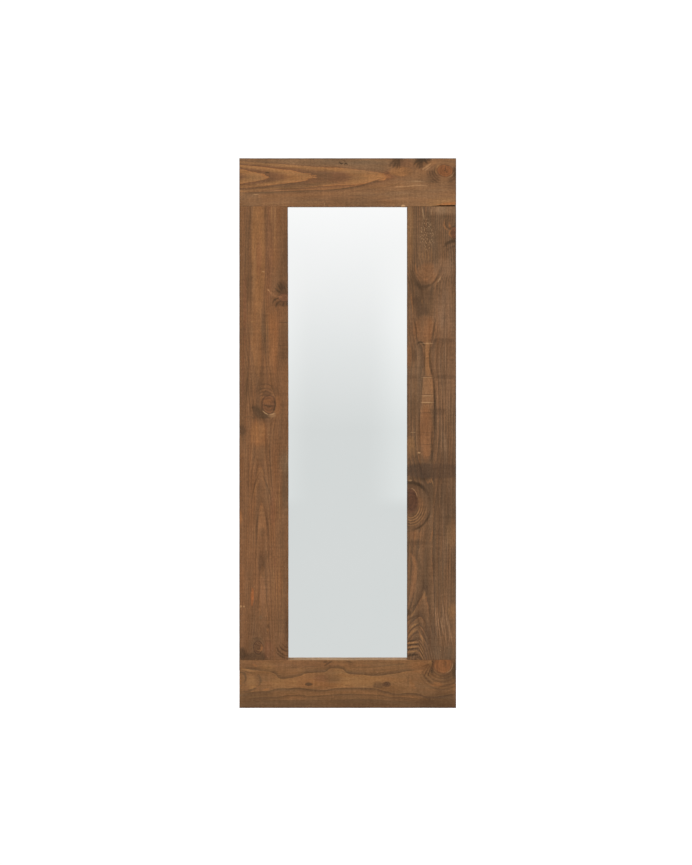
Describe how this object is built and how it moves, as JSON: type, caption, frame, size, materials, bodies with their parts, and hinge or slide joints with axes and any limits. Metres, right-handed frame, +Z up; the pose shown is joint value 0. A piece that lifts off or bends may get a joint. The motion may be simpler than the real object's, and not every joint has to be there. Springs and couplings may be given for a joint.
{
  "type": "full-length floor mirror",
  "caption": "Tall looking-glass in a wide frame of weathered softwood boards, with hangers, bumpers and turn buttons on its back, to lean on or hang from a wall.",
  "frame": {"origin": "middle of the bottom rail's lower edge, where the frame stands on the floor, midway through the boards' thickness", "axes": "+Z up along the frame's height, +Y from the glass towards the wall, +X to the right as seen from the front"},
  "size_m": [0.711, 0.042, 1.803],
  "materials": {
    "weathered_pine": "rough-sawn softwood, brown stain, worn to tan and orange at the grain",
    "dowel_beech": "bare turned beech",
    "silvered_glass": "polished silvered float glass",
    "setting_rubber": "dull black rubber",
    "foam_tape": "matt black closed-cell foam",
    "hardboard": "smooth brown hardboard",
    "zinc_steel": "zinc-plated steel, satin",
    "bumper_rubber": "matt black rubber"
  },
  "bodies": {
    "frame": {"backing_board": "hardboard", "bottom_rail": "weathered_pine", "corner_plate_bottom_left": "zinc_steel", "corner_plate_bottom_right": "zinc_steel", "corner_plate_screws": "zinc_steel", "corner_plate_top_left": "zinc_steel", "corner_plate_top_right": "zinc_steel", "foam_strips": "foam_tape", "hanger_screws": "zinc_steel", "hanger_strap_left": "zinc_steel", "hanger_strap_right": "zinc_steel", "joint_dowels": "dowel_beech", "left_stile": "weathered_pine", "mirror_glass": "silvered_glass", "right_stile": "weathered_pine", "setting_blocks": "setting_rubber", "top_rail": "weathered_pine", "turn_button_screws": "zinc_steel", "wall_bumpers": "bumper_rubber"},
    "turn_button_left_1": {"turn_button_left_1": "zinc_steel"},
    "turn_button_left_2": {"turn_button_left_2": "zinc_steel"},
    "turn_button_left_3": {"turn_button_left_3": "zinc_steel"},
    "turn_button_left_4": {"turn_button_left_4": "zinc_steel"},
    "turn_button_left_5": {"turn_button_left_5": "zinc_steel"},
    "turn_button_right_1": {"turn_button_right_1": "zinc_steel"},
    "turn_button_right_2": {"turn_button_right_2": "zinc_steel"},
    "turn_button_right_3": {"turn_button_right_3": "zinc_steel"},
    "turn_button_right_4": {"turn_button_right_4": "zinc_steel"},
    "turn_button_right_5": {"turn_button_right_5": "zinc_steel"},
    "turn_button_bottom": {"turn_button_bottom": "zinc_steel"},
    "turn_button_top": {"turn_button_top": "zinc_steel"},
    "d_ring_left": {"d_ring_left": "zinc_steel"},
    "d_ring_right": {"d_ring_right": "zinc_steel"}
  },
  "joints": [
    {"name": "turn_button_left_1_turn", "type": "hinge", "parent": "frame", "child": "turn_button_left_1", "pos_m": [-0.2155, 0.017, 0.268], "axis": [0, 1, 0], "continuous": true},
    {"name": "turn_button_left_2_turn", "type": "hinge", "parent": "frame", "child": "turn_button_left_2", "pos_m": [-0.2155, 0.017, 0.58475], "axis": [0, 1, 0], "continuous": true},
    {"name": "turn_button_left_3_turn", "type": "hinge", "parent": "frame", "child": "turn_button_left_3", "pos_m": [-0.2155, 0.017, 0.9015], "axis": [0, 1, 0], "continuous": true},
    {"name": "turn_button_left_4_turn", "type": "hinge", "parent": "frame", "child": "turn_button_left_4", "pos_m": [-0.2155, 0.017, 1.21825], "axis": [0, 1, 0], "continuous": true},
    {"name": "turn_button_left_5_turn", "type": "hinge", "parent": "frame", "child": "turn_button_left_5", "pos_m": [-0.2155, 0.017, 1.535], "axis": [0, 1, 0], "continuous": true},
    {"name": "turn_button_right_1_turn", "type": "hinge", "parent": "frame", "child": "turn_button_right_1", "pos_m": [0.2155, 0.017, 0.268], "axis": [0, 1, 0], "continuous": true},
    {"name": "turn_button_right_2_turn", "type": "hinge", "parent": "frame", "child": "turn_button_right_2", "pos_m": [0.2155, 0.017, 0.58475], "axis": [0, 1, 0], "continuous": true},
    {"name": "turn_button_right_3_turn", "type": "hinge", "parent": "frame", "child": "turn_button_right_3", "pos_m": [0.2155, 0.017, 0.9015], "axis": [0, 1, 0], "continuous": true},
    {"name": "turn_button_right_4_turn", "type": "hinge", "parent": "frame", "child": "turn_button_right_4", "pos_m": [0.2155, 0.017, 1.21825], "axis": [0, 1, 0], "continuous": true},
    {"name": "turn_button_right_5_turn", "type": "hinge", "parent": "frame", "child": "turn_button_right_5", "pos_m": [0.2155, 0.017, 1.535], "axis": [0, 1, 0], "continuous": true},
    {"name": "turn_button_bottom_turn", "type": "hinge", "parent": "frame", "child": "turn_button_bottom", "pos_m": [0, 0.017, 0.138], "axis": [0, 1, 0], "continuous": true},
    {"name": "turn_button_top_turn", "type": "hinge", "parent": "frame", "child": "turn_button_top", "pos_m": [0, 0.017, 1.665], "axis": [0, 1, 0], "continuous": true},
    {"name": "d_ring_left_swing", "type": "hinge", "parent": "frame", "child": "d_ring_left", "pos_m": [-0.2755, 0.0203, 1.383], "axis": [1, 0, 0], "range_deg": [0, 180]},
    {"name": "d_ring_right_swing", "type": "hinge", "parent": "frame", "child": "d_ring_right", "pos_m": [0.2755, 0.0203, 1.383], "axis": [1, 0, 0], "range_deg": [0, 180]}
  ]
}
